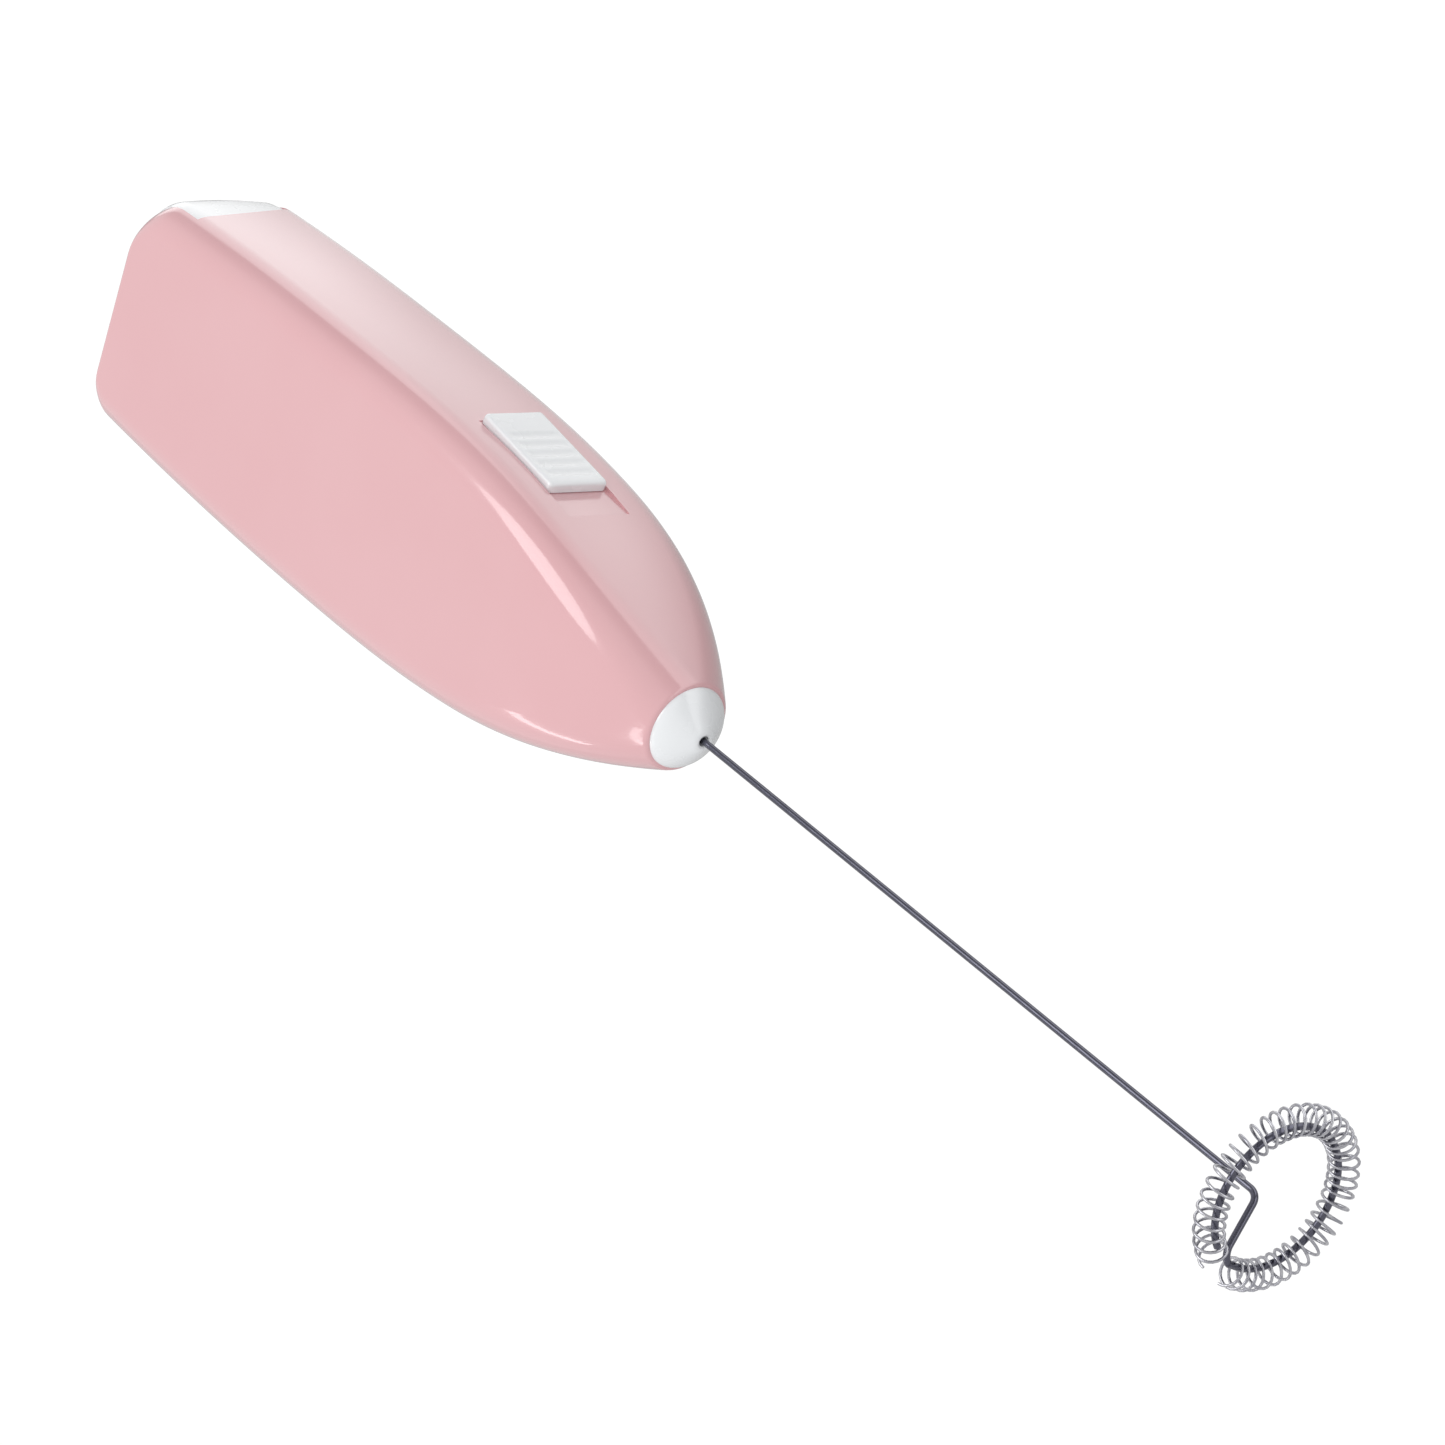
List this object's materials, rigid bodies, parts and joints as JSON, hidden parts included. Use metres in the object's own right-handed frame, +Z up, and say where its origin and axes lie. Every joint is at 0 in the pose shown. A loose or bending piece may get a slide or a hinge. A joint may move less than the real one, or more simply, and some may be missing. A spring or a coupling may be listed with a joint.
{
  "type": "battery milk frother",
  "caption": "Handheld battery milk frother: flattened tapering handle with a sliding switch, battery drawer, small motor and a spinning coil-ring whisk.",
  "frame": {"origin": "middle of the floor area that the frother covers as it lies on one broad side of its handle", "axes": "+X along the whisk's axis, from the handle to the whisk; +Y towards the switch on the handle's narrow side; +Z up, square to the broad side"},
  "size_m": [0.2217, 0.0356, 0.0234],
  "materials": {
    "pink_shell": "glossy pink moulded plastic",
    "white_plastic": "satin white moulded plastic",
    "nylon": "natural nylon",
    "bright_steel": "bright drawn stainless wire",
    "motor_steel": "plated pressed steel",
    "lamination_steel": "stacked lamination steel",
    "contact_brass": "sprung contact brass",
    "copper": "copper, bare or enamelled",
    "ferrite": "dark sintered ferrite",
    "cell_jacket": "plain lacquered metal jacket"
  },
  "bodies": {
    "handle": {"outer_shell": "pink_shell", "nose_cap": "white_plastic", "motor_holder": "white_plastic", "motor_can": "motor_steel", "motor_end_bell": "nylon", "rear_bearing": "contact_brass", "front_bearing": "contact_brass", "magnet_up": "ferrite", "magnet_down": "ferrite", "brush_up": "copper", "brush_down": "copper", "terminal_up": "copper", "terminal_down": "copper", "front_spring": "bright_steel", "positive_blade": "contact_brass", "negative_contact": "contact_brass", "switch_contact": "contact_brass"},
    "battery_drawer_body": {"battery_drawer": "white_plastic", "battery_up": "cell_jacket", "battery_down": "cell_jacket", "rear_bridge_plate": "bright_steel", "rear_spring": "bright_steel"},
    "switch": {"switch_knob": "white_plastic"},
    "rotor_and_whisk": {"motor_shaft": "motor_steel", "armature_core": "lamination_steel", "winding_1": "copper", "winding_2": "copper", "winding_3": "copper", "commutator": "copper", "rear_thrust_washer": "nylon", "front_thrust_washer": "nylon", "shaft_coupling": "nylon", "whisk_stick": "bright_steel", "whisk_coil": "bright_steel"}
  },
  "joints": [
    {"name": "battery_drawer_slide", "type": "slide", "parent": "handle", "child": "battery_drawer_body", "axis": [-1, 0, 0], "range_m": [0, 0.058]},
    {"name": "switch_slide", "type": "slide", "parent": "handle", "child": "switch", "axis": [0.9909, -0.1346, 0], "range_m": [0, 0.003]},
    {"name": "whisk_spin", "type": "hinge", "parent": "handle", "child": "rotor_and_whisk", "pos_m": [0, -0.00186, 0.0117], "axis": [1, 0, 0], "continuous": true}
  ]
}
